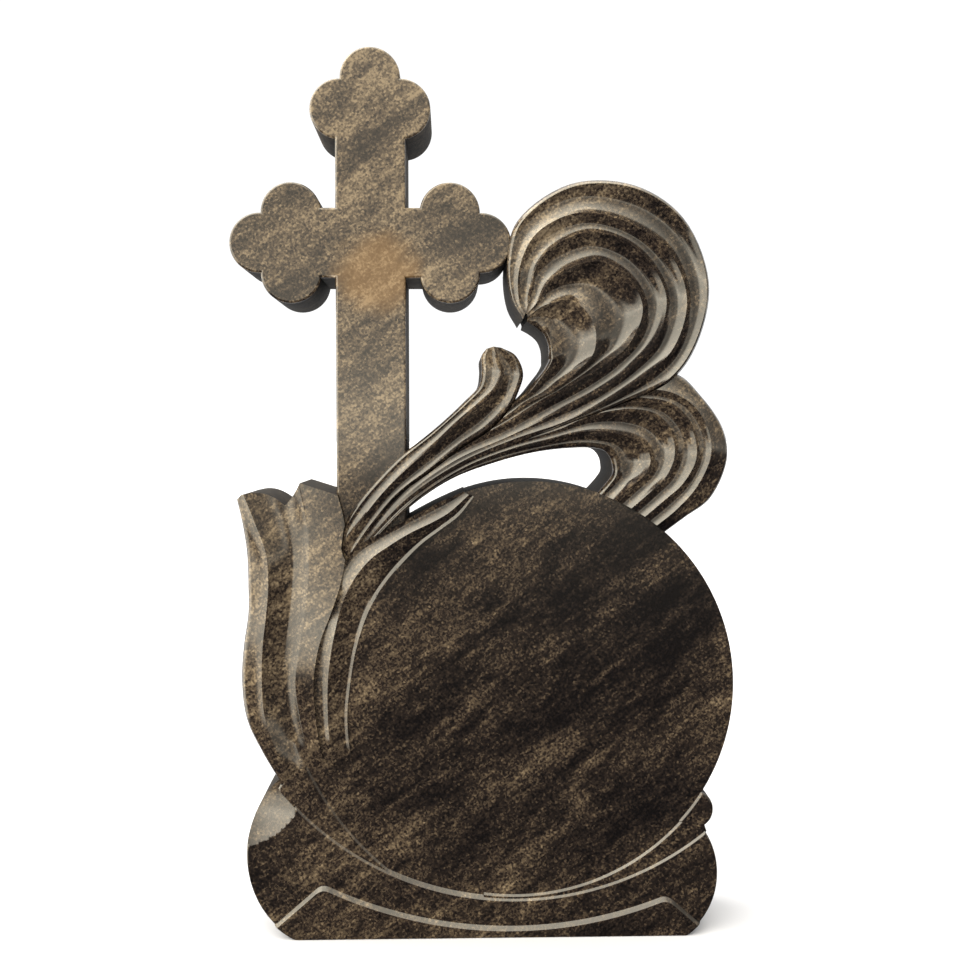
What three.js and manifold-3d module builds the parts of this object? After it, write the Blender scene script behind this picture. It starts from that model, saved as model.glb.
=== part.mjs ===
// Grave monument of polished granite, cut from one upright slab.
// A budded cross stands on the left, a leaf scroll with two curls sweeps up to the right,
// a calyx leaf wraps the round face from the left, and a lobed base carries them all.
// Millimetres, +Z up, front towards -Y, origin at the middle of the underside.

import * as THREE from "three";
import { mergeVertices } from "three/addons/utils/BufferGeometryUtils.js";
import Module from "manifold-3d";

const wasm = await Module();
wasm.setup();

// Slab
const MONUMENT_HEIGHT = 1200;
const SLAB_THICKNESS = 120;
const EDGE_CHAMFER = 3.5;

// Cross: the bars, and the trefoil of three round buds on each free end
const CROSS_CENTRE_X = -150.5;
const CROSS_CENTRE_HEIGHT = 939;
const CROSS_BAR_WIDTH = 94;
const CROSS_ARM_REACH = 189;
const CROSS_BUD_RADIUS = 40.5;
const CROSS_BUD_SPREAD = 40.5;
const CROSS_BUD_SPACING = 42;
const CROSS_FACE_DEPTH = 10;
const CROSS_FOOT_HEIGHT = 490;

// Round face, polished flat
const DISC_CENTRE_X = 63.5;
const DISC_CENTRE_HEIGHT = 341;
const DISC_RADIUS = 277;
const DISC_FACE_DEPTH = 10;

// Base: the cushion with its two side lobes, hollowed above by an arc
const HOLLOW_RADIUS = 408;
const HOLLOW_CENTRE_X = 45;
const HOLLOW_CENTRE_HEIGHT = 460;
const HOLLOW_LEFT_ANGLE = -141.5;
const HOLLOW_RIGHT_ANGLE = -51;
const HOLLOW_SHOULDER_X = -200;
const CUSHION_FACE_DEPTH = 5;
const LEFT_LOBE_X = -213;
const LEFT_LOBE_HEIGHT = 113;
const LEFT_LOBE_HALF_WIDTH = 108;
const LEFT_LOBE_HALF_HEIGHT = 125;
const RIGHT_LOBE_X = 233;
const RIGHT_LOBE_HEIGHT = 82;
const RIGHT_LOBE_HALF_WIDTH = 86;
const RIGHT_LOBE_HALF_HEIGHT = 97;

// Shoulder of the left lobe: it falls away to the outline, as part of a large ball cut from its face
const SHOULDER_BALL_RADIUS = 250;
const SHOULDER_BALL_REACH = 95;
const SHOULDER_BALL_X = -334;
const SHOULDER_BALL_HEIGHT = 219;

// Ribbon between the cushion and the round face: a crescent on either side, the right one ending in a bud
const RIBBON_FACE_DEPTH = 7.5;
const RIBBON_LEFT_CENTRE_X = 131;
const RIBBON_LEFT_CENTRE_HEIGHT = 405;
const RIBBON_LEFT_RADIUS = 408;
const RIBBON_RIGHT_CENTRE_X = 44;
const RIBBON_RIGHT_CENTRE_HEIGHT = 358.5;
const RIBBON_RIGHT_RADIUS = 304;
const RIBBON_BUD_X = 287.5;
const RIBBON_BUD_HEIGHT = 169;
const RIBBON_BUD_RADIUS = 26;

// Footing: the lowest step, with a dished top edge between two peaks
const FOOTING_CHAMFER = 7;
const FOOTING_DISH_RADIUS = 574;
const FOOTING_LEFT_PEAK_X = -219;
const FOOTING_LEFT_PEAK_HEIGHT = 76;
const FOOTING_RIGHT_PEAK_X = 249;
const FOOTING_RIGHT_PEAK_HEIGHT = 56;
const FOOTING_SHOULDER_RUN = 90;
const FOOTING_SHOULDER_SLOPE = 0.87;
const FOOTING_PEAK_SOFTNESS = 12;

// Carving of the leaves: how deep a flute is for its width, how deep at most, and the edge's roll
const FLUTE_DEPTH_SHARE = 0.32;
const FLUTE_GREATEST_DEPTH = 14;
const FLUTE_LEAST_WIDTH = 4;
const FULL_CARVING_WIDTH = 60;
const RIM_WIDTH = 6;
const RIM_ROLL = 8;
const LEAF_OVERLAP = 0.6;
const LEAF_SEAT_DEPTH = 45;

// Fineness of the faceted surfaces
const FLUTE_STEPS = 4;
const STATION_STEPS = 3;
const BUD_SEGMENTS = 28;
const LOBE_SEGMENTS = 56;
const ARC_SEGMENTS = 108;
const BALL_SEGMENTS = 144;
const FACET_TOLERANCE = 0.2;

const FRONT = -SLAB_THICKNESS / 2;
const BACK = SLAB_THICKNESS / 2;

// The leaves are free forms. They are drawn on a square grid of this pitch: columns run to the
// right, rows downwards to the ground row.
const GRID_PITCH = 1.35;
const GRID_GROUND_ROW = 937;
const GRID_CENTRE_COLUMN = 482.5;

// A leaf is a set of lines along it, from its free end to its root. All its lines pass the same
// stations. A line has its depth behind the slab's face, and the stone between two lines is
// hollowed. "rim" rolls the leaf's outer edge over, "hollow" scales the flute that follows a line,
// and "crown" lifts the end edge between this line and the next.

// Upper curl: from its pointed tip round the volute, then down the stem to the root of the scroll
const UPPER_CURL = [
  { depth: 6, hollow: 0.8, rim: true, points: [
    [526, 320], [535, 325], [543, 332], [547, 341], [548, 348], [548, 352], [548, 355], [548, 358],
    [544, 366], [537, 375], [524, 391], [508, 404], [488, 422], [440, 447], [388, 488], [343, 556]] },
  { depth: 2, hollow: 1, points: [
    [527, 316], [540, 306], [553, 301], [568, 299], [581, 306], [588, 314], [593, 324], [595, 335],
    [592, 352], [580, 366], [553, 388], [528, 401], [493, 424], [443, 449], [392, 490], [344, 557]] },
  { depth: 0, hollow: 1, points: [
    [526, 313], [537, 300], [548, 281], [569, 267], [597, 261], [618, 271], [635, 289], [641, 310],
    [628, 342], [605, 362], [566, 386], [540, 401], [500, 424], [450, 448], [398, 489], [345, 558]] },
  { depth: 2, hollow: 1, points: [
    [525, 312], [530, 290], [536, 265], [553, 246], [588, 232], [626, 242], [652, 267], [665, 298],
    [655, 338], [628, 368], [590, 395], [556, 411], [508, 434], [456, 457], [404, 494], [346, 559]] },
  { depth: 0, hollow: 0.8, points: [
    [524, 313], [518, 298], [519, 266], [536, 233], [578, 213], [629, 224], [667, 252], [685, 298],
    [672, 346], [645, 372], [603, 400], [562, 420], [512, 437], [459, 460], [406, 496], [347, 560]] },
  { depth: 3, rim: true, points: [
    [522, 318], [511, 297], [507, 258], [517, 220], [570, 183], [634, 184], [683, 216], [709, 280],
    [698, 340], [673, 377], [625, 401], [575, 419], [514, 442], [461, 464], [408, 499], [348, 561]] },
];

// Lower curl: from its end behind the round face, round the volute and along under the stem
const LOWER_CURL = [
  { depth: 8, hollow: 0.9, rim: true, points: [
    [596, 492], [606, 481], [612, 472], [612, 463], [610, 456], [604, 449], [592, 446], [570, 446],
    [535, 450], [495, 460], [450, 477], [405, 508], [352, 562]] },
  { depth: 0, hollow: 1, points: [
    [612, 500], [630, 484], [643, 473], [649, 459], [645, 446], [635, 438], [617, 432], [590, 429],
    [550, 437], [505, 448], [457, 468], [408, 502], [351, 561]] },
  { depth: 1, hollow: 1, points: [
    [628, 508], [650, 489], [665, 474], [673, 455], [671, 435], [655, 416], [630, 409], [596, 413],
    [555, 428], [508, 443], [458, 464], [409, 500], [350, 561]] },
  { depth: 1, hollow: 1, points: [
    [642, 516], [662, 499], [682, 481], [695, 456], [691, 428], [672, 406], [640, 400], [602, 406],
    [557, 423], [509, 440], [459, 462], [409, 499], [349, 561]] },
  { depth: 2, hollow: 0.2, points: [
    [655, 524], [676, 507], [697, 483], [710, 452], [706, 425], [688, 400], [656, 388], [611, 400],
    [561, 417], [511, 437], [461, 460], [410, 497], [348, 561]] },
  { depth: 10, rim: true, points: [
    [664, 532], [686, 516], [712, 497], [729, 458], [725, 428], [703, 395], [675, 371], [619, 394],
    [566, 412], [513, 434], [462, 457], [410, 494], [346, 560]] },
];

// Sprig: the small curl that stands in the upper opening, and the top of the stem below it
const SPRIG = [
  { depth: 7, hollow: 0.9, rim: true, points: [
    [486, 347], [481, 354], [481, 368], [478, 384], [464, 399], [445, 417], [425, 434], [398, 455],
    [375, 479], [356, 502], [345, 521], [341, 545]] },
  { depth: 0, hollow: 1, points: [
    [493, 345], [497, 359], [500, 370], [495, 386], [481, 401], [461, 418], [440, 437], [412, 461],
    [386, 486], [364, 513], [350, 535], [343, 553]] },
  { depth: 7, rim: true, points: [
    [501, 346], [515, 353], [523, 371], [518, 390], [509, 408], [489, 429], [462, 446], [430, 470],
    [398, 494], [374, 522], [357, 545], [346, 559]] },
];

// Disc leaf: from its tip on the round face's shoulder, down round its left side, where it runs out
const DISC_LEAF = [
  { depth: 7, hollow: 0.5, points: [
    [463, 489], [440, 499], [420, 509], [398, 521], [374, 533], [348, 551], [339, 578], [329, 609],
    [317, 640], [311, 676], [313, 709], [316, 738], [321, 765]] },
  { depth: 0, hollow: 0.2, points: [
    [468, 492], [449, 509], [432, 519], [411, 529], [391, 541], [370, 556], [353, 577], [341, 604],
    [333, 636], [328, 670], [327, 705], [329, 738], [334, 766]] },
  { depth: 13, hollow: 0, points: [
    [472, 493], [456, 511], [439, 524], [419, 539], [400, 557], [383, 577], [368, 600], [358, 624],
    [351, 650], [346, 680], [343, 712], [345, 745], [352, 776]] },
  { depth: 10, points: [
    [473, 494], [458, 513], [441, 526], [421, 541], [403, 559], [386, 579], [371, 602], [361, 626],
    [354, 651], [349, 681], [346, 712], [348, 745], [354, 776]] },
];

// Calyx leaf: from its wavy top edge down the left side, where its flutes run out above the base
const CALYX_LEAF = [
  { depth: 8, hollow: 0.15, crown: 1, rim: true, points: [
    [237, 496], [242, 520], [246, 550], [247, 582], [247, 610], [242, 645], [240, 680], [245, 718],
    [260, 750], [280, 784]] },
  { depth: 0, hollow: 0.4, crown: 6, points: [
    [245, 491], [257, 521], [267, 550], [269, 581], [267, 608], [263, 643], [262, 680], [265, 714],
    [275, 744], [290, 773]] },
  { depth: 16, hollow: 0.2, crown: -2, points: [
    [284, 503], [287, 524], [291, 551], [290, 581], [287, 611], [283, 643], [281, 680], [286, 711],
    [291, 740], [298, 767]] },
  { depth: 7, hollow: 0, crown: 8, points: [
    [300, 480], [308, 518], [309, 550], [308, 581], [305, 610], [300, 643], [295, 678], [298, 709],
    [304, 738], [311, 765]] },
  { depth: 1, points: [
    [338, 492], [344, 516], [346, 546], [341, 578], [331, 609], [319, 641], [313, 680], [315, 711],
    [318, 738], [323, 764]] },
];

const asPlan = (column, row) => new THREE.Vector3(
  (column - GRID_CENTRE_COLUMN) * GRID_PITCH,
  0,
  (GRID_GROUND_ROW - row) * GRID_PITCH,
);

// Solids for joining and cutting, with their faces pointing out

function solidOf(positions, triangles) {
  const corner = (index) => new THREE.Vector3().fromArray(positions, 3 * triangles[index]);
  let volume = 0;
  for (let i = 0; i < triangles.length; i += 3) {
    volume += corner(i).dot(corner(i + 1).cross(corner(i + 2)));
  }
  const outward = Uint32Array.from(triangles);
  if (volume < 0) {
    outward.reverse();
  }
  return new wasm.Manifold(new wasm.Mesh({
    numProp: 3,
    vertProperties: Float32Array.from(positions),
    triVerts: outward,
  }));
}

function solidOfGeometry(geometry) {
  geometry.deleteAttribute("normal");
  geometry.deleteAttribute("uv");
  const merged = mergeVertices(geometry);
  return solidOf(merged.attributes.position.array, merged.index.array);
}

// A plate upright in the slab, from its face to the slab's back, with chamfered edges
function plate(outline, faceDepth, chamfer = EDGE_CHAMFER) {
  const geometry = new THREE.ExtrudeGeometry(new THREE.Shape(outline), {
    depth: SLAB_THICKNESS - faceDepth - 2 * chamfer,
    bevelEnabled: true,
    bevelThickness: chamfer,
    bevelSize: chamfer,
    bevelOffset: -chamfer,
    bevelSegments: 1,
  });
  geometry.rotateX(Math.PI / 2);
  geometry.translate(0, BACK - chamfer, 0);
  return solidOfGeometry(geometry);
}

function arc(x, z, halfWidth, halfHeight, fromDegrees, toDegrees, segments) {
  const outline = [];
  for (let i = 0; i <= segments; i += 1) {
    const angle = THREE.MathUtils.degToRad(THREE.MathUtils.lerp(fromDegrees, toDegrees, i / segments));
    outline.push(new THREE.Vector2(x + halfWidth * Math.cos(angle), z + halfHeight * Math.sin(angle)));
  }
  return outline;
}

const oval = (x, z, halfWidth, halfHeight, segments) => (
  arc(x, z, halfWidth, halfHeight, 0, 360, segments).slice(1)
);

const circle = (x, z, radius, segments) => oval(x, z, radius, radius, segments);

function rectangle(left, right, low, high) {
  return [[left, low], [right, low], [right, high], [left, high]].map(([x, z]) => new THREE.Vector2(x, z));
}

// A round cutter right through the slab. It flares at a face, so that what it cuts keeps a chamfer
function roundCutter(x, z, radius, faceDepth, chamfer) {
  const profile = [
    [0, FRONT - EDGE_CHAMFER],
    [radius + chamfer, FRONT - EDGE_CHAMFER],
    [radius + chamfer, FRONT + faceDepth],
    [radius, FRONT + faceDepth + chamfer],
    [radius, BACK + EDGE_CHAMFER],
    [0, BACK + EDGE_CHAMFER],
  ].map(([r, y]) => new THREE.Vector2(r, y));
  const geometry = new THREE.LatheGeometry(profile, ARC_SEGMENTS);
  geometry.translate(x, 0, z);
  return solidOfGeometry(geometry);
}

// Leaves

function leafLines(leaf) {
  return leaf.map(({ points }) => new THREE.CatmullRomCurve3(
    points.map(([column, row]) => asPlan(column, row)),
    false,
    "centripetal",
  ));
}

// One row of a leaf's carved surface, across all its lines at one share of its length
function leafRow(leaf, lines, share) {
  const knots = lines.map((line, i) => ({ ...leaf[i], place: line.getPoint(share) }));
  const last = knots.length - 1;
  const stations = leaf[0].points.length - 1;
  const nearEnd = Math.max(0, 1 - share * stations);
  const nearRoot = Math.max(0, 1 - (1 - share) * stations);
  const fullness = Math.min(1, knots[0].place.distanceTo(knots[last].place) / FULL_CARVING_WIDTH);
  knots.forEach((knot) => {
    knot.depth = THREE.MathUtils.lerp(knot.depth * fullness, DISC_FACE_DEPTH, nearRoot);
  });
  const rimKnot = (edge, inner) => {
    const width = edge.place.distanceTo(inner.place);
    const inset = Math.min(RIM_WIDTH, width / 4) / width;
    const rim = { ...edge, place: edge.place.clone().lerp(inner.place, inset) };
    edge.depth += THREE.MathUtils.lerp(Math.min(RIM_ROLL, width / 4), EDGE_CHAMFER, nearRoot);
    edge.hollow = 0;
    edge.crown = 0;
    return rim;
  };
  if (leaf[last].rim) {
    knots.splice(last, 0, { ...rimKnot(knots[last], knots[last - 1]), hollow: 0 });
  }
  if (leaf[0].rim) {
    knots.splice(1, 0, rimKnot(knots[0], knots[1]));
  }
  const row = [];
  for (let k = 0; k + 1 < knots.length; k += 1) {
    const [from, to] = [knots[k], knots[k + 1]];
    const width = from.place.distanceTo(to.place);
    const wide = Math.max(0, width - FLUTE_LEAST_WIDTH);
    const hollow = (1 - nearRoot) * from.hollow * Math.min(FLUTE_GREATEST_DEPTH, FLUTE_DEPTH_SHARE * wide);
    const steps = from.hollow > 0 ? FLUTE_STEPS : 1;
    for (let s = k === 0 ? 0 : 1; s <= steps; s += 1) {
      const t = s / steps;
      const point = from.place.clone().lerp(to.place, t);
      const bow = 4 * t * (1 - t);
      point.y = FRONT + THREE.MathUtils.lerp(from.depth, to.depth, t) + hollow * bow;
      point.z += (from.crown ?? 0) * GRID_PITCH * nearEnd * bow;
      row.push(point);
    }
  }
  return row;
}

function leafSurface(leaf) {
  const lines = leafLines(leaf);
  const steps = (leaf[0].points.length - 1) * STATION_STEPS;
  const rows = [];
  for (let i = 0; i <= steps; i += 1) {
    rows.push(leafRow(leaf, lines, i / steps));
  }
  return rows;
}

// Closes a surface of rows into a solid down to a flat back
function closeBehind(rows, back) {
  const width = rows[0].length;
  const count = rows.length * width;
  const positions = [];
  rows.flat().forEach((p) => positions.push(p.x, p.y, p.z));
  rows.flat().forEach((p) => positions.push(p.x, back, p.z));
  const triangles = [];
  const quad = (a, b, c, d) => triangles.push(a, b, c, a, c, d);
  for (let i = 0; i + 1 < rows.length; i += 1) {
    for (let j = 0; j + 1 < width; j += 1) {
      const a = i * width + j;
      quad(a, a + 1, a + 1 + width, a + width);
      quad(count + a, count + a + width, count + a + 1 + width, count + a + 1);
    }
    const [left, right] = [i * width, i * width + width - 1];
    quad(left, left + width, count + left + width, count + left);
    quad(right, count + right, count + right + width, right + width);
  }
  for (let j = 0; j + 1 < width; j += 1) {
    const bottom = (rows.length - 1) * width + j;
    quad(j, count + j, count + j + 1, j + 1);
    quad(bottom, bottom + 1, count + bottom + 1, count + bottom);
  }
  return solidOf(positions, triangles);
}

// The stone that a leaf replaces: its footprint down to a seat in the slab, a little inside its edge
function leafFootprint(rows) {
  const inward = (from, to) => {
    const gap = from.distanceTo(to);
    return from.clone().lerp(to, Math.min(0.5, LEAF_OVERLAP / gap));
  };
  const flat = rows.map((row) => row.map((p) => new THREE.Vector3(p.x, FRONT - EDGE_CHAMFER, p.z)));
  const last = flat[0].length - 1;
  const drawn = flat.map((row) => [
    inward(row[0], row[1]),
    ...row.slice(1, last),
    inward(row[last], row[last - 1]),
  ]);
  const end = drawn.length - 1;
  const shortened = [
    drawn[0].map((p, j) => inward(p, drawn[1][j])),
    ...drawn.slice(1, end),
    drawn[end].map((p, j) => inward(p, drawn[end - 1][j])),
  ];
  return closeBehind(shortened, FRONT + LEAF_SEAT_DEPTH);
}

function carve(stone, leaf) {
  const rows = leafSurface(leaf);
  return stone.subtract(leafFootprint(rows)).add(closeBehind(rows, BACK));
}

// Cross

function crossSolid() {
  const half = CROSS_BAR_WIDTH / 2;
  const topReach = MONUMENT_HEIGHT - CROSS_CENTRE_HEIGHT;
  const budLine = (reach) => reach - CROSS_BUD_RADIUS - CROSS_BUD_SPACING;
  const bar = (halfWidth, low, high) => plate(
    rectangle(CROSS_CENTRE_X - halfWidth, CROSS_CENTRE_X + halfWidth, low, high),
    CROSS_FACE_DEPTH,
  );
  const core = CROSS_BUD_RADIUS / 2;
  const tipLine = (reach) => reach - CROSS_BUD_RADIUS;
  let cross = bar(half, CROSS_FOOT_HEIGHT, CROSS_CENTRE_HEIGHT + budLine(topReach))
    .add(bar(budLine(CROSS_ARM_REACH), CROSS_CENTRE_HEIGHT - half, CROSS_CENTRE_HEIGHT + half))
    .add(bar(core, CROSS_CENTRE_HEIGHT, CROSS_CENTRE_HEIGHT + tipLine(topReach)))
    .add(bar(tipLine(CROSS_ARM_REACH), CROSS_CENTRE_HEIGHT - core, CROSS_CENTRE_HEIGHT + core));
  const ends = [[-1, 0, CROSS_ARM_REACH], [1, 0, CROSS_ARM_REACH], [0, 1, topReach]];
  for (const [alongX, alongZ, reach] of ends) {
    const buds = [
      [tipLine(reach), 0],
      [budLine(reach), CROSS_BUD_SPREAD],
      [budLine(reach), -CROSS_BUD_SPREAD],
    ];
    for (const [out, aside] of buds) {
      const x = CROSS_CENTRE_X + alongX * out + alongZ * aside;
      const z = CROSS_CENTRE_HEIGHT + alongZ * out + alongX * aside;
      cross = cross.add(plate(circle(x, z, CROSS_BUD_RADIUS, BUD_SEGMENTS), CROSS_FACE_DEPTH));
    }
  }
  return cross;
}

// Round face

function withDisc(stone) {
  const [x, z, radius] = [DISC_CENTRE_X, DISC_CENTRE_HEIGHT, DISC_RADIUS];
  const room = roundCutter(x, z, radius - LEAF_OVERLAP, 0, 0);
  return stone.subtract(room).add(plate(circle(x, z, radius, ARC_SEGMENTS), DISC_FACE_DEPTH));
}

// Base

function baseSilhouette(faceDepth) {
  const middle = rectangle(LEFT_LOBE_X, RIGHT_LOBE_X, -LEFT_LOBE_HALF_HEIGHT, LEFT_LOBE_HEIGHT);
  const lobes = [
    [LEFT_LOBE_X, LEFT_LOBE_HEIGHT, LEFT_LOBE_HALF_WIDTH, LEFT_LOBE_HALF_HEIGHT],
    [RIGHT_LOBE_X, RIGHT_LOBE_HEIGHT, RIGHT_LOBE_HALF_WIDTH, RIGHT_LOBE_HALF_HEIGHT],
  ];
  return lobes.reduce(
    (solid, lobe) => solid.add(plate(oval(...lobe, LOBE_SEGMENTS), faceDepth)),
    plate(middle, faceDepth),
  );
}

// What fills the hollow of the cushion, up to the round face and the leaf
function hollowOutline() {
  const radius = HOLLOW_RADIUS + CUSHION_FACE_DEPTH;
  const dished = arc(
    HOLLOW_CENTRE_X,
    HOLLOW_CENTRE_HEIGHT,
    radius,
    radius,
    HOLLOW_LEFT_ANGLE,
    HOLLOW_RIGHT_ANGLE,
    LOBE_SEGMENTS,
  );
  const shoulder = [
    [RIBBON_BUD_X, RIBBON_BUD_HEIGHT + RIBBON_BUD_RADIUS - EDGE_CHAMFER],
    [DISC_CENTRE_X, DISC_CENTRE_HEIGHT],
    [HOLLOW_SHOULDER_X, DISC_CENTRE_HEIGHT],
  ];
  return [...dished, ...shoulder.map(([x, z]) => new THREE.Vector2(x, z))];
}

// The lesser of two heights, with a rounded change from one to the other
function softLesser(a, b, softness) {
  const near = Math.max(0, softness - Math.abs(a - b)) / softness;
  return Math.min(a, b) - near * near * softness / 4;
}

// Height of the footing's top edge: an arc between the two peaks, and a straight fall outside them
function footingHeight(x) {
  const [left, right] = [FOOTING_LEFT_PEAK_X, FOOTING_RIGHT_PEAK_X];
  const [leftHeight, rightHeight] = [FOOTING_LEFT_PEAK_HEIGHT, FOOTING_RIGHT_PEAK_HEIGHT];
  const halfSpan = (right - left) / 2;
  const arcHeight = (offset) => Math.sqrt(FOOTING_DISH_RADIUS ** 2 - offset ** 2);
  const depth = (offset) => arcHeight(offset) - arcHeight(halfSpan);
  const peaks = THREE.MathUtils.mapLinear(x, left, right, leftHeight, rightHeight);
  const dish = peaks - depth(x - left - halfSpan);
  const shoulder = Math.min(
    leftHeight + FOOTING_SHOULDER_SLOPE * (x - left),
    rightHeight + FOOTING_SHOULDER_SLOPE * (right - x),
  );
  return softLesser(dish, shoulder, FOOTING_PEAK_SOFTNESS);
}

function footingOutline() {
  const ground = -FOOTING_DISH_RADIUS;
  const [left, right] = [FOOTING_LEFT_PEAK_X, FOOTING_RIGHT_PEAK_X];
  const [low, high] = [left - FOOTING_SHOULDER_RUN, right + FOOTING_SHOULDER_RUN];
  const along = [high];
  const [first, last] = [right + FOOTING_PEAK_SOFTNESS, left - FOOTING_PEAK_SOFTNESS];
  for (let i = 0; i <= ARC_SEGMENTS; i += 1) {
    along.push(THREE.MathUtils.lerp(first, last, i / ARC_SEGMENTS));
  }
  along.push(low);
  return [
    new THREE.Vector2(low, ground),
    new THREE.Vector2(high, ground),
    ...along.map((x) => new THREE.Vector2(x, footingHeight(x))),
  ];
}

function shoulderBall() {
  const sunk = Math.sqrt(SHOULDER_BALL_RADIUS ** 2 - SHOULDER_BALL_REACH ** 2);
  const geometry = new THREE.SphereGeometry(SHOULDER_BALL_RADIUS, BALL_SEGMENTS, BALL_SEGMENTS / 2);
  geometry.translate(SHOULDER_BALL_X, FRONT + CUSHION_FACE_DEPTH - sunk, SHOULDER_BALL_HEIGHT);
  return solidOfGeometry(geometry);
}

function baseSolid() {
  const hollow = [HOLLOW_CENTRE_X, HOLLOW_CENTRE_HEIGHT, HOLLOW_RADIUS];
  const cushion = baseSilhouette(CUSHION_FACE_DEPTH).subtract(
    roundCutter(...hollow, CUSHION_FACE_DEPTH, DISC_FACE_DEPTH - CUSHION_FACE_DEPTH),
  ).subtract(shoulderBall());
  const ribbonStep = DISC_FACE_DEPTH - RIBBON_FACE_DEPTH;
  const [leftCutter, rightCutter, discCutter] = [
    [RIBBON_LEFT_CENTRE_X, RIBBON_LEFT_CENTRE_HEIGHT, RIBBON_LEFT_RADIUS],
    [RIBBON_RIGHT_CENTRE_X, RIBBON_RIGHT_CENTRE_HEIGHT, RIBBON_RIGHT_RADIUS],
    [DISC_CENTRE_X, DISC_CENTRE_HEIGHT, DISC_RADIUS - LEAF_OVERLAP],
  ].map((inner) => roundCutter(...inner, RIBBON_FACE_DEPTH, ribbonStep));
  const far = MONUMENT_HEIGHT;
  const leftHalf = plate(rectangle(-far, 0, -far, far), -SLAB_THICKNESS, 0);
  const band = plate(hollowOutline(), RIBBON_FACE_DEPTH);
  const bud = plate(
    circle(RIBBON_BUD_X, RIBBON_BUD_HEIGHT, RIBBON_BUD_RADIUS, BUD_SEGMENTS),
    RIBBON_FACE_DEPTH,
  );
  const ribbon = band.intersect(leftHalf).subtract(leftCutter)
    .add(band.subtract(leftHalf).subtract(rightCutter))
    .add(bud.subtract(discCutter));
  const footing = plate(footingOutline(), 0, FOOTING_CHAMFER).intersect(baseSilhouette(0));
  return plate(hollowOutline(), DISC_FACE_DEPTH).add(ribbon).add(cushion).add(footing);
}

// Monument

function monumentSolid() {
  let stone = crossSolid();
  stone = carve(stone, LOWER_CURL);
  stone = carve(stone, UPPER_CURL);
  stone = withDisc(stone);
  stone = stone.add(baseSolid());
  stone = carve(stone, DISC_LEAF);
  stone = carve(stone, CALYX_LEAF);
  stone = carve(stone, SPRIG);
  const far = MONUMENT_HEIGHT;
  const underground = plate(rectangle(-far, far, -far, 0), -SLAB_THICKNESS, 0);
  return stone.subtract(underground).asOriginal().simplify(FACET_TOLERANCE);
}

function meshOf(name, solid, material) {
  const { vertProperties, triVerts } = solid.getMesh();
  const geometry = new THREE.BufferGeometry();
  geometry.setAttribute("position", new THREE.BufferAttribute(vertProperties, 3));
  geometry.setIndex(new THREE.BufferAttribute(triVerts, 1));
  geometry.computeVertexNormals();
  const mesh = new THREE.Mesh(geometry, material);
  mesh.name = name;
  return mesh;
}

const granite = new THREE.MeshStandardMaterial({ color: 0x5d5146, roughness: 0.25, metalness: 0 });

const monument = new THREE.Group();
monument.add(meshOf("gravestone", monumentSolid(), granite));

export default monument;
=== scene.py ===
import math

import bmesh
import bpy
from mathutils import Matrix, Vector


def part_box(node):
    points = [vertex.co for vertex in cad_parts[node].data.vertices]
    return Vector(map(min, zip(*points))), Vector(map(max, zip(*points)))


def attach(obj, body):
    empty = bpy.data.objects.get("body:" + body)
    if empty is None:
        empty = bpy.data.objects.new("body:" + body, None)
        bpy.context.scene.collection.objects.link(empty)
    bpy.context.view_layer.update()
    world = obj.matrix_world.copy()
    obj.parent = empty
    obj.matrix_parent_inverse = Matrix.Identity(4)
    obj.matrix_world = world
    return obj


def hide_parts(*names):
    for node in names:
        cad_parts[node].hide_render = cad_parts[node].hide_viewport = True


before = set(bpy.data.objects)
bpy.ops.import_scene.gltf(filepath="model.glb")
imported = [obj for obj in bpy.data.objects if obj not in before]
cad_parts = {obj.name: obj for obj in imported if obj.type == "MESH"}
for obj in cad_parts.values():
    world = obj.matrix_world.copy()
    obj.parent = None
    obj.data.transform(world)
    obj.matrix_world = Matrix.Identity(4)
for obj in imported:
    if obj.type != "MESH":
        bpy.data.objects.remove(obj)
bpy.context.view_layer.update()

# Camera
# It stands near, in front of the stone, a little left of its middle and at about half its height,
# and it is turned slightly right and down.
stone_low, stone_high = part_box("gravestone")
height = stone_high.z - stone_low.z
FRONT = stone_low.y
BACK = stone_high.y
camera_distance, camera_left, camera_height = 1.09 * height, 0.0366 * height, 0.5725 * height
camera_turn = (90 - 1.3, 0.13, -1.07)
camera_data = bpy.data.cameras.new("camera")
camera_data.lens_unit = "FOV"
camera_data.angle = math.radians(52.3)
camera_data.shift_x, camera_data.shift_y = 0.0118, -0.0285
camera = bpy.data.objects.new("camera", camera_data)
camera.location = (-camera_left, FRONT - camera_distance, camera_height)
camera.rotation_euler = [math.radians(angle) for angle in camera_turn]
bpy.context.scene.collection.objects.link(camera)
bpy.context.scene.camera = camera

# The slab
# One upright slab of granite, sawn flat on its back. Everything is cut from it, so each form below
# is a solid that reaches the back, and the forms are joined or cut out in turn.
EDGE = 0.0035
EDGE_STEPS = 3


def object_of(shape, name="form"):
    """Makes an object of a bmesh, with its faces pointing outwards."""
    bmesh.ops.recalc_face_normals(shape, faces=shape.faces)
    mesh = bpy.data.meshes.new(name)
    shape.to_mesh(mesh)
    shape.free()
    form = bpy.data.objects.new(name, mesh)
    bpy.context.scene.collection.objects.link(form)
    return form


def work(stone, operation, *forms):
    """Joins forms to the stone or cuts them from it, and takes the forms away."""
    for form in forms:
        step = stone.modifiers.new("step", "BOOLEAN")
        step.solver = "MANIFOLD"
        step.operation = operation
        step.object = form
        seen = stone.evaluated_get(bpy.context.evaluated_depsgraph_get())
        worked = bpy.data.meshes.new_from_object(seen)
        stone.modifiers.remove(step)
        stone.data = worked
        bpy.data.objects.remove(form)
    return stone


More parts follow.
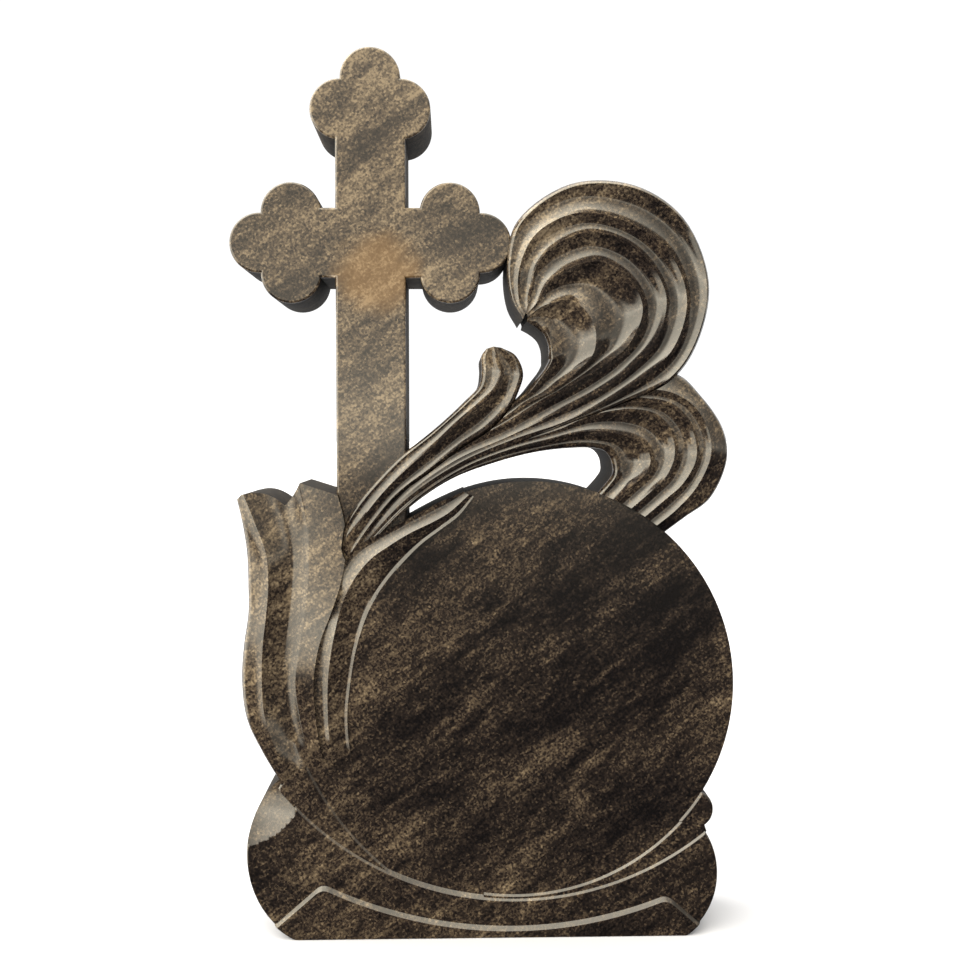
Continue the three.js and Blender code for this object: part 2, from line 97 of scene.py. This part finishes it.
def plate(outline, face_depth, edge=EDGE):
    """Draws an outline of (x, z) places back through the slab and eases its front and back edges.

    Without an edge it is a cutter, which passes the slab's back.
    """
    shape = bmesh.new()
    front = shape.faces.new([shape.verts.new((x, FRONT + face_depth, z)) for x, z in outline])
    drawn = bmesh.ops.extrude_face_region(shape, geom=[front])["geom"]
    for vert in drawn:
        if isinstance(vert, bmesh.types.BMVert):
            vert.co.y = BACK if edge else BACK + EDGE
    if edge:
        rims = [e for e in shape.edges if abs(e.verts[0].co.y - e.verts[1].co.y) < EDGE]
        bmesh.ops.bevel(
            shape,
            geom=rims,
            offset=edge,
            segments=EDGE_STEPS,
            profile=0.5,
            affect="EDGES",
            material=-1,
        )
    return object_of(shape)


def round_places(x, z, half_width, half_height, steps, start=0.0, end=360.0):
    """Places on an oval or a part of it, between two angles in degrees."""
    count = steps if end - start >= 360 else steps + 1
    places = []
    for i in range(count):
        angle = math.radians(start + (end - start) * i / steps)
        places.append((x + half_width * math.cos(angle), z + half_height * math.sin(angle)))
    return places


def round_plate(x, z, half_width, half_height, face_depth, steps):
    return plate(round_places(x, z, half_width, half_height, steps), face_depth)


def bar(left, right, low, high, face_depth, edge=EDGE):
    return plate([(left, low), (right, low), (right, high), (left, high)], face_depth, edge)


# Cross
# A Latin cross on the left, a little behind the carving. Each free end is a trefoil of round buds.
CROSS_DEPTH = 0.010
cross_x, cross_z = -0.1505, 0.939
half_bar = 0.047
bud_radius, bud_spread, bud_spacing = 0.0405, 0.0405, 0.042
arm_reach = 0.189
cross_foot = 0.49
shaft_top = stone_high.z - bud_radius - bud_spacing
BUD_STEPS = 72

stone = bar(cross_x - half_bar, cross_x + half_bar, cross_foot, shaft_top, CROSS_DEPTH)
arm_half = arm_reach - bud_radius - bud_spacing
arm_core = arm_reach - bud_radius
core = bud_radius / 2
cross_forms = [
    bar(cross_x - arm_half, cross_x + arm_half, cross_z - half_bar, cross_z + half_bar, CROSS_DEPTH),
    bar(cross_x - arm_core, cross_x + arm_core, cross_z - core, cross_z + core, CROSS_DEPTH),
    bar(cross_x - core, cross_x + core, cross_z, stone_high.z - bud_radius, CROSS_DEPTH),
]
for along_x, along_z, reach in [(-1, 0, arm_reach), (1, 0, arm_reach), (0, 1, stone_high.z - cross_z)]:
    tip = reach - bud_radius
    inner = tip - bud_spacing
    for out, aside in [(tip, 0), (inner, bud_spread), (inner, -bud_spread)]:
        x = cross_x + along_x * out + along_z * aside
        z = cross_z + along_z * out + along_x * aside
        cross_forms.append(round_plate(x, z, bud_radius, bud_radius, CROSS_DEPTH, BUD_STEPS))
work(stone, "UNION", *cross_forms)

# Leaves
# Acanthus leaves carved with a gouge: flutes run between crests from each leaf's tip to its root.
# A leaf is drawn as lines along it, on a grid of squares whose rows count down to the ground, and
# each line has its depth in millimetres behind the slab's face.
GRID = height / 889
GROUND_ROW = 937
MIDDLE_COLUMN = 482.5
FLUTE_STEPS = 10
STATION_STEPS = 7
FLUTE_SHARE = 0.32
FLUTE_DEEPEST = 0.014
FLUTE_NARROWEST = 0.004
FULL_WIDTH = 0.060
RIM_WIDTH = 0.006
RIM_ROLL = 0.008
RIM_STEPS = 3
NARROW_RIM = 0.25
RIM_ROUNDING = 0.2
SEAT_DEPTH = 0.045
OVERLAP = 0.0006
FACE_DEPTH = 0.010


def along_line(points, share):
    """The place at a share of a smooth curve through points, at even shares of its stretches."""
    stretches = len(points) - 1
    first = min(int(share * stretches), stretches - 1)
    weight = share * stretches - first
    ends = [2 * points[0] - points[1], *points, 2 * points[-1] - points[-2]]
    before, start, end, after = ends[first:first + 4]
    gaps = [max(math.sqrt((b - a).length), 1e-6) for a, b in ((before, start), (start, end), (end, after))]
    leave = (start - before) / gaps[0] - (end - before) / (gaps[0] + gaps[1]) + (end - start) / gaps[1]
    arrive = (end - start) / gaps[1] - (after - start) / (gaps[1] + gaps[2]) + (after - end) / gaps[2]
    leave, arrive = leave * gaps[1], arrive * gaps[1]
    cubic = 2 * start - 2 * end + leave + arrive
    square = 3 * end - 3 * start - 2 * leave - arrive
    return start + weight * (leave + weight * (square + weight * cubic))


def leaf_row(lines, share):
    """One row of a leaf's carved surface, across its lines at one share of its length."""
    stations = len(lines[0]["points"]) - 1
    near_end = max(0.0, 1 - share * stations)
    near_root = max(0.0, 1 - (1 - share) * stations)
    knots = [{**line, "place": along_line(line["points"], share)} for line in lines]
    width = (knots[0]["place"] - knots[-1]["place"]).length
    fullness = min(1.0, width / FULL_WIDTH)
    for knot in knots:
        knot["depth"] = knot["depth"] * fullness * (1 - near_root) + FACE_DEPTH * near_root
        knot["steps"] = FLUTE_STEPS if knot.get("hollow") else 1
    for edge, inner in ((-1, -2), (0, 1)):
        if not lines[edge].get("rim"):
            continue
        gap = (knots[edge]["place"] - knots[inner]["place"]).length
        inset = min(RIM_WIDTH, gap * NARROW_RIM) / gap
        rim = {**knots[edge], "place": knots[edge]["place"].lerp(knots[inner]["place"], inset)}
        knots[edge] = {**knots[edge], "hollow": 0, "crown": 0, "steps": RIM_STEPS, "roll": True}
        knots[edge]["depth"] += min(RIM_ROLL, gap * NARROW_RIM) * (1 - near_root) + EDGE * near_root
        if edge == -1:
            rim = {**rim, "hollow": 0, "steps": RIM_STEPS, "roll": True}
        knots.insert(len(knots) - 1 if edge == -1 else 1, rim)
    row = []
    for k in range(len(knots) - 1):
        start, end = knots[k], knots[k + 1]
        wide = max(0.0, (start["place"] - end["place"]).length - FLUTE_NARROWEST)
        hollow = (1 - near_root) * start.get("hollow", 0) * min(FLUTE_DEEPEST, FLUTE_SHARE * wide)
        for step in range(1 if k else 0, start["steps"] + 1):
            t = step / start["steps"]
            bow = 4 * t * (1 - t)
            spot = start["place"].lerp(end["place"], t)
            depth = start["depth"] + (end["depth"] - start["depth"]) * t + hollow * bow
            if start.get("roll"):
                depth -= abs(end["depth"] - start["depth"]) * RIM_ROUNDING * bow
            lift = start.get("crown", 0) * GRID * near_end * bow
            row.append(Vector((spot.x, FRONT + depth, spot.y + lift)))
    return row


def closed_sheet(rows, back):
    """A solid between a sheet of rows and a flat back, made from a grid that is bent to the sheet."""
    shape = bmesh.new()
    across, along = len(rows[0]) - 1, len(rows) - 1
    bmesh.ops.create_grid(shape, x_segments=across, y_segments=along, size=0.5)
    for vert in shape.verts:
        vert.co = rows[round((vert.co.y + 0.5) * along)][round((vert.co.x + 0.5) * across)]
    drawn = bmesh.ops.extrude_face_region(shape, geom=shape.faces[:])["geom"]
    for vert in drawn:
        if isinstance(vert, bmesh.types.BMVert):
            vert.co.y = back
    return object_of(shape)


def inward(edge, inner):
    """A place at an edge, moved a little towards the place next to it."""
    gap = (inner - edge).length
    return edge.lerp(inner, min(0.5, OVERLAP / gap)) if gap else edge


def carve(stone, lines):
    """Sinks a seat for a leaf in the stone, a little inside its edge, and sets the carved leaf in it."""
    placed = []
    for line in lines:
        points = [Vector(((x - MIDDLE_COLUMN) * GRID, (GROUND_ROW - y) * GRID)) for x, y in line["points"]]
        placed.append({**line, "depth": line["depth"] / 1000, "points": points})
    count = (len(placed[0]["points"]) - 1) * STATION_STEPS
    rows = [leaf_row(placed, i / count) for i in range(count + 1)]
    flat = [[Vector((p.x, FRONT - EDGE, p.z)) for p in row] for row in rows]
    flat = [[inward(row[0], row[1]), *row[1:-1], inward(row[-1], row[-2])] for row in flat]
    first_end = [inward(p, q) for p, q in zip(flat[0], flat[1])]
    last_end = [inward(p, q) for p, q in zip(flat[-1], flat[-2])]
    seat = closed_sheet([first_end, *flat[1:-1], last_end], FRONT + SEAT_DEPTH)
    work(stone, "DIFFERENCE", seat)
    return work(stone, "UNION", closed_sheet(rows, BACK))


lower_curl = [
    {"depth": 8, "hollow": 0.9, "rim": True, "points": [
        (596, 492), (606, 481), (612, 472), (612, 463), (610, 456), (604, 449), (592, 446), (570, 446),
        (535, 450), (495, 460), (450, 477), (405, 508), (352, 562)]},
    {"depth": 0, "hollow": 1, "points": [
        (612, 500), (630, 484), (643, 473), (649, 459), (645, 446), (635, 438), (617, 432), (590, 429),
        (550, 437), (505, 448), (457, 468), (408, 502), (351, 561)]},
    {"depth": 1, "hollow": 1, "points": [
        (628, 508), (650, 489), (665, 474), (673, 455), (671, 435), (655, 416), (630, 409), (596, 413),
        (555, 428), (508, 443), (458, 464), (409, 500), (350, 561)]},
    {"depth": 1, "hollow": 1, "points": [
        (642, 516), (662, 499), (682, 481), (695, 456), (691, 428), (672, 406), (640, 400), (602, 406),
        (557, 423), (509, 440), (459, 462), (409, 499), (349, 561)]},
    {"depth": 2, "hollow": 0.2, "points": [
        (655, 524), (676, 507), (697, 483), (710, 452), (706, 425), (688, 400), (656, 388), (611, 400),
        (561, 417), (511, 437), (461, 460), (410, 497), (348, 561)]},
    {"depth": 10, "rim": True, "points": [
        (664, 532), (686, 516), (712, 497), (729, 458), (725, 428), (703, 395), (675, 371), (619, 394),
        (566, 412), (513, 434), (462, 457), (410, 494), (346, 560)]},
]
upper_curl = [
    {"depth": 6, "hollow": 0.8, "rim": True, "points": [
        (526, 320), (535, 325), (543, 332), (547, 341), (548, 348), (548, 352), (548, 355), (548, 358),
        (544, 366), (537, 375), (524, 391), (508, 404), (488, 422), (440, 447), (388, 488), (343, 556)]},
    {"depth": 2, "hollow": 1, "points": [
        (527, 316), (540, 306), (553, 301), (568, 299), (581, 306), (588, 314), (593, 324), (595, 335),
        (592, 352), (580, 366), (553, 388), (528, 401), (493, 424), (443, 449), (392, 490), (344, 557)]},
    {"depth": 0, "hollow": 1, "points": [
        (526, 313), (537, 300), (548, 281), (569, 267), (597, 261), (618, 271), (635, 289), (641, 310),
        (628, 342), (605, 362), (566, 386), (540, 401), (500, 424), (450, 448), (398, 489), (345, 558)]},
    {"depth": 2, "hollow": 1, "points": [
        (525, 312), (530, 290), (536, 265), (553, 246), (588, 232), (626, 242), (652, 267), (665, 298),
        (655, 338), (628, 368), (590, 395), (556, 411), (508, 434), (456, 457), (404, 494), (346, 559)]},
    {"depth": 0, "hollow": 0.8, "points": [
        (524, 313), (518, 298), (519, 266), (536, 233), (578, 213), (629, 224), (667, 252), (685, 298),
        (672, 346), (645, 372), (603, 400), (562, 420), (512, 437), (459, 460), (406, 496), (347, 560)]},
    {"depth": 3, "rim": True, "points": [
        (522, 318), (511, 297), (507, 258), (517, 220), (570, 183), (634, 184), (683, 216), (709, 280),
        (698, 340), (673, 377), (625, 401), (575, 419), (514, 442), (461, 464), (408, 499), (348, 561)]},
]
carve(stone, lower_curl)
carve(stone, upper_curl)

# Round face
# A polished disc, bare, that stands in front of the stem and the lower curl.
DISC_STEPS = 256
disc_x, disc_z, disc_radius = 0.0635, 0.341, 0.277


def round_cutter(x, z, radius, face_depth, drop):
    """A round cutter through the slab, spun from its profile. It flares by drop at a face."""
    profile = [
        (0, FRONT - EDGE),
        (radius + drop, FRONT - EDGE),
        (radius + drop, FRONT + face_depth),
        (radius, FRONT + face_depth + drop),
        (radius, BACK + EDGE),
        (0, BACK + EDGE),
    ]
    shape = bmesh.new()
    verts = [shape.verts.new((x + r, y, z)) for r, y in profile]
    edges = [shape.edges.new(pair) for pair in zip(verts, verts[1:])]
    bmesh.ops.spin(
        shape,
        geom=verts + edges,
        cent=(x, 0, z),
        axis=(0, 1, 0),
        angle=math.tau,
        steps=DISC_STEPS,
        use_merge=True,
    )
    bmesh.ops.remove_doubles(shape, verts=shape.verts, dist=1e-5)
    return object_of(shape)


work(stone, "DIFFERENCE", round_cutter(disc_x, disc_z, disc_radius - OVERLAP, 0, 0))
work(stone, "UNION", round_plate(disc_x, disc_z, disc_radius, disc_radius, FACE_DEPTH, DISC_STEPS))

# Base
# A cushion with a round lobe at each side, hollowed above by an arc, a thin ribbon along the arc,
# and the lowest step, whose top edge dips between two peaks.
CUSHION_DEPTH = 0.005
RIBBON_DEPTH = 0.0075
LOBE_STEPS = 144
hollow_x, hollow_z, hollow_radius = 0.045, 0.460, 0.408
hollow_left_angle, hollow_right_angle = -141.5, -51.0
filling_x = -0.200
lobes = [(-0.213, 0.113, 0.108, 0.125), (0.233, 0.082, 0.086, 0.097)]
ribbon_left_round, ribbon_right_round = (0.131, 0.405, 0.408), (0.044, 0.3585, 0.304)
bud_x, bud_z, ribbon_bud_radius = 0.2875, 0.169, 0.026
scoop_x, scoop_z, scoop_radius, scoop_reach = -0.334, 0.219, 0.250, 0.095
far = 2 * height


def base_outline(face_depth):
    outer = bar(lobes[0][0], lobes[1][0], -lobes[0][3], lobes[0][1], face_depth)
    return work(outer, "UNION", *[round_plate(*lobe, face_depth, LOBE_STEPS) for lobe in lobes])


def hollow_filling(face_depth):
    """What lies in the hollow of the cushion, up to the round face and the leaf."""
    radius = hollow_radius + CUSHION_DEPTH
    angles = (hollow_left_angle, hollow_right_angle)
    dished = round_places(hollow_x, hollow_z, radius, radius, LOBE_STEPS, *angles)
    shoulder = [(bud_x, bud_z + ribbon_bud_radius - EDGE), (disc_x, disc_z), (filling_x, disc_z)]
    return plate(dished + shoulder, face_depth)


def soft_lesser(a, b, softness):
    """The lesser of two heights, with a rounded change from one to the other."""
    near = max(0.0, softness - abs(a - b)) / softness
    return min(a, b) - near * near * softness / 4


def footing_form():
    """The lowest step. Its top edge dips as an arc between two peaks, and falls away outside them."""
    left, right, left_height, right_height = -0.219, 0.249, 0.076, 0.056
    dish_radius, slope, softness, run, chamfer = 0.574, 0.87, 0.012, 0.090, 0.007
    half_span = (right - left) / 2
    chord = math.sqrt(dish_radius ** 2 - half_span ** 2)
    along = [left - run]
    along += [left - softness + (right - left + 2 * softness) * i / LOBE_STEPS for i in range(LOBE_STEPS + 1)]
    along += [right + run]
    rows = []
    for x in along:
        peaks = left_height + (right_height - left_height) * (x - left) / (right - left)
        dish = peaks - math.sqrt(dish_radius ** 2 - (x - left - half_span) ** 2) + chord
        shoulder = min(left_height + slope * (x - left), right_height + slope * (right - x))
        top = soft_lesser(dish, shoulder, softness)
        places = [(FRONT, -far), (FRONT, top - chamfer), (FRONT + chamfer, top)]
        rows.append([Vector((x, depth, z)) for depth, z in places])
    return closed_sheet(rows, BACK)


def shoulder_scoop():
    """A large ball that takes the left lobe's upper side away towards its outline."""
    scoop_y = FRONT + CUSHION_DEPTH - math.sqrt(scoop_radius ** 2 - scoop_reach ** 2)
    scoop = bmesh.new()
    bmesh.ops.create_uvsphere(
        scoop,
        u_segments=DISC_STEPS,
        v_segments=DISC_STEPS // 2,
        radius=scoop_radius,
        matrix=Matrix.Translation((scoop_x, scoop_y, scoop_z)),
    )
    return object_of(scoop)


step_drop = FACE_DEPTH - RIBBON_DEPTH
cushion = work(base_outline(CUSHION_DEPTH), "DIFFERENCE",
               round_cutter(hollow_x, hollow_z, hollow_radius, CUSHION_DEPTH, FACE_DEPTH - CUSHION_DEPTH))
work(cushion, "DIFFERENCE", shoulder_scoop())
ribbon_left = work(hollow_filling(RIBBON_DEPTH), "DIFFERENCE",
                   bar(0, far, -far, far, -far, 0),
                   round_cutter(*ribbon_left_round, RIBBON_DEPTH, step_drop))
ribbon_right = work(hollow_filling(RIBBON_DEPTH), "DIFFERENCE",
                    bar(-far, 0, -far, far, -far, 0),
                    round_cutter(*ribbon_right_round, RIBBON_DEPTH, step_drop))
ribbon_bud = work(round_plate(bud_x, bud_z, ribbon_bud_radius, ribbon_bud_radius, RIBBON_DEPTH, BUD_STEPS),
                  "DIFFERENCE", round_cutter(disc_x, disc_z, disc_radius - OVERLAP, RIBBON_DEPTH, step_drop))
footing = work(footing_form(), "INTERSECT", base_outline(0))
work(stone, "UNION", hollow_filling(FACE_DEPTH), ribbon_left, ribbon_right, ribbon_bud, cushion, footing)

# Front leaves
# The disc leaf hugs the round face, the calyx leaf wraps the left side and runs out above the base,
# and the small sprig stands in the upper opening. They lie over the forms that came before.
disc_leaf = [
    {"depth": 7, "hollow": 0.5, "points": [
        (463, 489), (440, 499), (420, 509), (398, 521), (374, 533), (348, 551), (339, 578), (329, 609),
        (317, 640), (311, 676), (313, 709), (316, 738), (321, 765)]},
    {"depth": 0, "hollow": 0.2, "points": [
        (468, 492), (449, 509), (432, 519), (411, 529), (391, 541), (370, 556), (353, 577), (341, 604),
        (333, 636), (328, 670), (327, 705), (329, 738), (334, 766)]},
    {"depth": 13, "points": [
        (472, 493), (456, 511), (439, 524), (419, 539), (400, 557), (383, 577), (368, 600), (358, 624),
        (351, 650), (346, 680), (343, 712), (345, 745), (352, 776)]},
    {"depth": 10, "points": [
        (473, 494), (458, 513), (441, 526), (421, 541), (403, 559), (386, 579), (371, 602), (361, 626),
        (354, 651), (349, 681), (346, 712), (348, 745), (354, 776)]},
]
calyx_leaf = [
    {"depth": 8, "hollow": 0.15, "crown": 1, "rim": True, "points": [
        (237, 496), (242, 520), (246, 550), (247, 582), (247, 610), (242, 645), (240, 680), (245, 718),
        (260, 750), (280, 784)]},
    {"depth": 0, "hollow": 0.4, "crown": 6, "points": [
        (245, 491), (257, 521), (267, 550), (269, 581), (267, 608), (263, 643), (262, 680), (265, 714),
        (275, 744), (290, 773)]},
    {"depth": 16, "hollow": 0.2, "crown": -2, "points": [
        (284, 503), (287, 524), (291, 551), (290, 581), (287, 611), (283, 643), (281, 680), (286, 711),
        (291, 740), (298, 767)]},
    {"depth": 7, "hollow": 0, "crown": 8, "points": [
        (300, 480), (308, 518), (309, 550), (308, 581), (305, 610), (300, 643), (295, 678), (298, 709),
        (304, 738), (311, 765)]},
    {"depth": 1, "points": [
        (338, 492), (344, 516), (346, 546), (341, 578), (331, 609), (319, 641), (313, 680), (315, 711),
        (318, 738), (323, 764)]},
]
sprig = [
    {"depth": 7, "hollow": 0.9, "rim": True, "points": [
        (486, 347), (481, 354), (481, 368), (478, 384), (464, 399), (445, 417), (425, 434), (398, 455),
        (375, 479), (356, 502), (345, 521), (341, 545)]},
    {"depth": 0, "hollow": 1, "points": [
        (493, 345), (497, 359), (500, 370), (495, 386), (481, 401), (461, 418), (440, 437), (412, 461),
        (386, 486), (364, 513), (350, 535), (343, 553)]},
    {"depth": 7, "rim": True, "points": [
        (501, 346), (515, 353), (523, 371), (518, 390), (509, 408), (489, 429), (462, 446), (430, 470),
        (398, 494), (374, 522), (357, 545), (346, 559)]},
]
for leaf in (disc_leaf, calyx_leaf, sprig):
    carve(stone, leaf)
work(stone, "DIFFERENCE", bar(-far, far, -far, 0, -far, 0))

# Polished granite
# Brown-grey banded granite. Near-black bands rise to the right, with tan grains and veins between
# them, and an ochre stain lies at the middle of the cross. Patches along the bands are partly painted
# light: paler over the cross, the shaft and the left side, darker over the disc and the middle. The
# faces are polished. The sides turned away from the front are rough and reflect less, and they are
# painted near-black as painted shade.
BAND_RISE = math.radians(37)
granite = bpy.data.materials.new("polished_granite")
granite.use_nodes = True
nodes, links = granite.node_tree.nodes, granite.node_tree.links
shader = nodes["Principled BSDF"]


def add(kind, **settings):
    node = nodes.new(kind)
    for key, value in settings.items():
        setattr(node, key, value)
    return node


def feed(socket, value):
    if isinstance(value, bpy.types.NodeSocket):
        links.new(value, socket)
    else:
        socket.default_value = value


def mapped(source, turn=0.0, scale=(1, 1, 1), shift=(0, 0, 0)):
    node = add("ShaderNodeMapping")
    feed(node.inputs["Vector"], source)
    feed(node.inputs["Location"], shift)
    feed(node.inputs["Rotation"], (0, turn, 0))
    feed(node.inputs["Scale"], scale)
    return node.outputs["Vector"]


def noise(source, scale, detail, roughness, distortion):
    node = add("ShaderNodeTexNoise")
    for name, value in (("Vector", source), ("Scale", scale), ("Detail", detail),
                        ("Roughness", roughness), ("Distortion", distortion)):
        feed(node.inputs[name], value)
    return node.outputs["Fac"]


def spread(value, low, high, start=0.0, end=1.0):
    """Maps low..high to start..end, with soft ends."""
    node = add("ShaderNodeMapRange", interpolation_type="SMOOTHSTEP")
    names = ("Value", "From Min", "From Max", "To Min", "To Max")
    for name, part in zip(names, (value, low, high, start, end)):
        feed(node.inputs[name], part)
    return node.outputs["Result"]


def sum_up(operation, first, second):
    node = add("ShaderNodeMath", operation=operation)
    feed(node.inputs[0], first)
    feed(node.inputs[1], second)
    return node.outputs["Value"]


def mix(factor, first, second):
    node = add("ShaderNodeMix", data_type="RGBA")
    for socket, value in ((node.inputs[0], factor), (node.inputs[6], first), (node.inputs[7], second)):
        feed(socket, value)
    return node.outputs[2]


place = add("ShaderNodeTexCoord").outputs["Object"]
along_bands = mapped(place, BAND_RISE)
stretched = mapped(along_bands, scale=(0.3, 0.6, 1), shift=(0.4, 0, 0.2))
long_veins = mapped(along_bands, scale=(0.14, 0.6, 1), shift=(3, 0, 1))


def varied(value, amount):
    """How far a noise lies over or under its middle, times an amount."""
    return sum_up("MULTIPLY", sum_up("SUBTRACT", value, 0.5), amount)


WANDER = (0.10, 0, 0.05)
wander_noise = add("ShaderNodeTexNoise")
feed(wander_noise.inputs["Vector"], stretched)
feed(wander_noise.inputs["Scale"], 22)
feed(wander_noise.inputs["Detail"], 4)
wander = add("ShaderNodeVectorMath", operation="MULTIPLY_ADD")
feed(wander.inputs[0], wander_noise.outputs["Color"])
feed(wander.inputs[1], WANDER)
feed(wander.inputs[2], along_bands)
wandering = add("ShaderNodeSeparateXYZ")
feed(wandering.inputs["Vector"], wander.outputs["Vector"])


def patch(x, z, half_length, half_width, amount):
    """A paler patch, or a darker one below 0, that lies along the bands with a wandering edge."""
    along = x * math.cos(BAND_RISE) + z * math.sin(BAND_RISE) + WANDER[0] / 2
    across = z * math.cos(BAND_RISE) - x * math.sin(BAND_RISE) + WANDER[2] / 2
    parts = []
    for axis, middle, half in (("X", along, half_length), ("Z", across, half_width)):
        share = sum_up("MULTIPLY", sum_up("SUBTRACT", wandering.outputs[axis], middle), 1 / half)
        parts.append(sum_up("MULTIPLY", share, share))
    return spread(sum_up("ADD", *parts), 0.3, 1.5, amount, 0)


crystals = add("ShaderNodeTexVoronoi")
feed(crystals.inputs["Vector"], along_bands)
feed(crystals.inputs["Scale"], 340)
tone = sum_up("ADD", varied(noise(stretched, 15, 4, 0.6, 0.4), 0.9), 0.4)
tone = sum_up("ADD", tone, varied(crystals.outputs["Color"], 0.45))
grains = [(stretched, 50, 4, 0.75), (stretched, 150, 4, 0.8), (along_bands, 300, 2, 0.9)]
for source, scale, detail, amount in grains:
    tone = sum_up("ADD", tone, varied(noise(source, scale, detail, 0.65, 0.2), amount))
tone = sum_up("ADD", tone, spread(noise(long_veins, 42, 3, 0.6, 0.3), 0.58, 0.74, 0, 0.2))
# Patches along the bands, partly the stone's own tone and partly painted light. The paler ones over the
# cross, the shaft above eye height and the left side are painted reflection of the bright sky and the left
# panel. The darker ones over the disc, the middle of the carving and the right arm of the cross are painted
# shade.
BAND_AND_PAINTED_LIGHT_PATCHES = [
    (-0.15, 1.0, 0.42, 0.30, 0.27),
    (-0.15, 0.68, 0.18, 0.06, 0.16),
    (-0.06, 0.88, 0.06, 0.03, 0.18),
    (-0.28, 0.43, 0.17, 0.17, 0.23),
    (-0.27, 0.09, 0.12, 0.08, 0.08),
    (-0.01, 0.945, 0.06, 0.045, -0.18),
    (0.05, 0.40, 0.12, 0.07, -0.16),
    (0.19, 0.38, 0.16, 0.07, -0.18),
    (0.17, 0.52, 0.10, 0.06, -0.16),
    (0.27, 0.44, 0.12, 0.05, -0.16),
    (-0.10, 0.50, 0.09, 0.03, -0.12),
    (-0.09, 0.32, 0.08, 0.05, -0.12),
    (0.16, 0.14, 0.12, 0.035, -0.14),
]
for spot in BAND_AND_PAINTED_LIGHT_PATCHES:
    tone = sum_up("ADD", tone, patch(*spot))
granite_ramp = add("ShaderNodeValToRGB")
feed(granite_ramp.inputs["Fac"], tone)
colours = [(0.1, (0.0026, 0.0022, 0.0027)), (0.34, (0.0085, 0.0064, 0.0060)), (0.5, (0.019, 0.0140, 0.0112)),
           (0.7, (0.047, 0.035, 0.0245)), (1.0, (0.14, 0.108, 0.072))]
while len(granite_ramp.color_ramp.elements) < len(colours):
    granite_ramp.color_ramp.elements.new(0.5)
for element, (level, colour) in zip(granite_ramp.color_ramp.elements, colours):
    element.position = level
    element.color = (*colour, 1)
stain = patch(-0.142, 0.895, 0.058, 0.055, 0.36)
stained = mix(stain, granite_ramp.outputs["Color"], (0.17, 0.092, 0.028, 1))
facing = add("ShaderNodeSeparateXYZ")
feed(facing.inputs["Vector"], add("ShaderNodeTexCoord").outputs["Normal"])
# Faces turned side-on to the front (outer sides, carved walls, undersides) get painted shade: a near-black
# colour in place of the shade they lie in. They are also rougher and reflect less.
polish_and_side_shade = spread(sum_up("ABSOLUTE", facing.outputs["Y"], 0), 0.03, 0.12)
painted_side_shade = spread(polish_and_side_shade, 0, 1, 0.75, 0)
# The near-black colour mixed in here is painted shade on the side-on faces.
feed(shader.inputs["Base Color"], mix(painted_side_shade, stained, (0.003, 0.0026, 0.0026, 1)))
feed(shader.inputs["Roughness"], spread(polish_and_side_shade, 0, 1, 0.7, 0.14))
feed(shader.inputs["Specular IOR Level"], spread(polish_and_side_shade, 0, 1, 0.1, 0.5))
shader.inputs["IOR"].default_value = 1.53

stone.name = "carved_stone"
stone.data.name = "carved_stone"
stone.data.materials.clear()
stone.data.materials.append(granite)
for polygon in stone.data.polygons:
    polygon.use_smooth = True
SHARP_FROM = math.radians(38)
stone.data.set_sharp_from_angle(angle=SHARP_FROM)
flat_faces = stone.modifiers.new("flat_faces", "WEIGHTED_NORMAL")
flat_faces.keep_sharp = True
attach(stone, "root")
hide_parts("gravestone")

# Studio
# A plain pale floor under a soft dome. The light comes from above, from in front and most from the
# left. Below the eye's height the room in front is dark, and the polished stone mirrors it.
floor_shape = bmesh.new()
bmesh.ops.create_circle(floor_shape, cap_ends=True, segments=96, radius=60)
floor = object_of(floor_shape, "floor")
floor.location.z = -0.0005
floor.visible_glossy = False
floor_paint = bpy.data.materials.new("floor_paint")
floor_paint.use_nodes = True
floor_paint.node_tree.nodes["Principled BSDF"].inputs["Base Color"].default_value = (0.34, 0.36, 0.43, 1)
floor_paint.node_tree.nodes["Principled BSDF"].inputs["Roughness"].default_value = 0.9
floor.data.materials.append(floor_paint)

world = bpy.data.worlds.new("dome")
bpy.context.scene.world = world
world.use_nodes = True
nodes, links = world.node_tree.nodes, world.node_tree.links  # add and feed now work on the dome
sides = add("ShaderNodeSeparateXYZ")
feed(sides.inputs["Vector"], add("ShaderNodeTexCoord").outputs["Generated"])
to_right, to_back, upwards = [sides.outputs[axis] for axis in "XYZ"]
brightest = 8.0
levels = [(-1, 0.02), (-0.25, 0.04), (-0.055, 0.3), (-0.038, 0.8), (-0.022, 4.0),
          (0.03, 3.4), (0.1, 1.8), (0.3, 1.6), (0.5, 2.8), (1, 8)]
rise = add("ShaderNodeValToRGB")
feed(rise.inputs["Fac"], sum_up("MULTIPLY", sum_up("ADD", upwards, 1), 0.5))
while len(rise.color_ramp.elements) < len(levels):
    rise.color_ramp.elements.new(0.5)
for element, (level, light) in zip(rise.color_ramp.elements, levels):
    element.position = (level + 1) / 2
    element.color = (light / brightest, light / brightest, light / brightest, 1)
room = sum_up("MULTIPLY", rise.outputs["Color"], spread(to_right, 0, 0.6, brightest, 0.5 * brightest))
left_panel = sum_up("MULTIPLY", spread(to_right, -0.55, -0.2, 5, 0), spread(upwards, -0.18, -0.14))
low_panel = sum_up("MULTIPLY", spread(to_right, -0.84, -0.76, 4, 0), spread(upwards, -0.5, -0.4))
room = sum_up("ADD", room, sum_up("MAXIMUM", left_panel, low_panel))
backdrop = spread(to_back, 0.3, 0.6)
light_colour = mix(backdrop, (1, 0.92, 0.74, 1), (1, 1, 1, 1))
strength = add("ShaderNodeMix")
for name, value in (("Factor", backdrop), ("A", room), ("B", 1.1)):
    feed(strength.inputs[name], value)
feed(nodes["Background"].inputs["Color"], light_colour)
feed(nodes["Background"].inputs["Strength"], strength.outputs["Result"])
bpy.context.scene.view_settings.view_transform = "Standard"
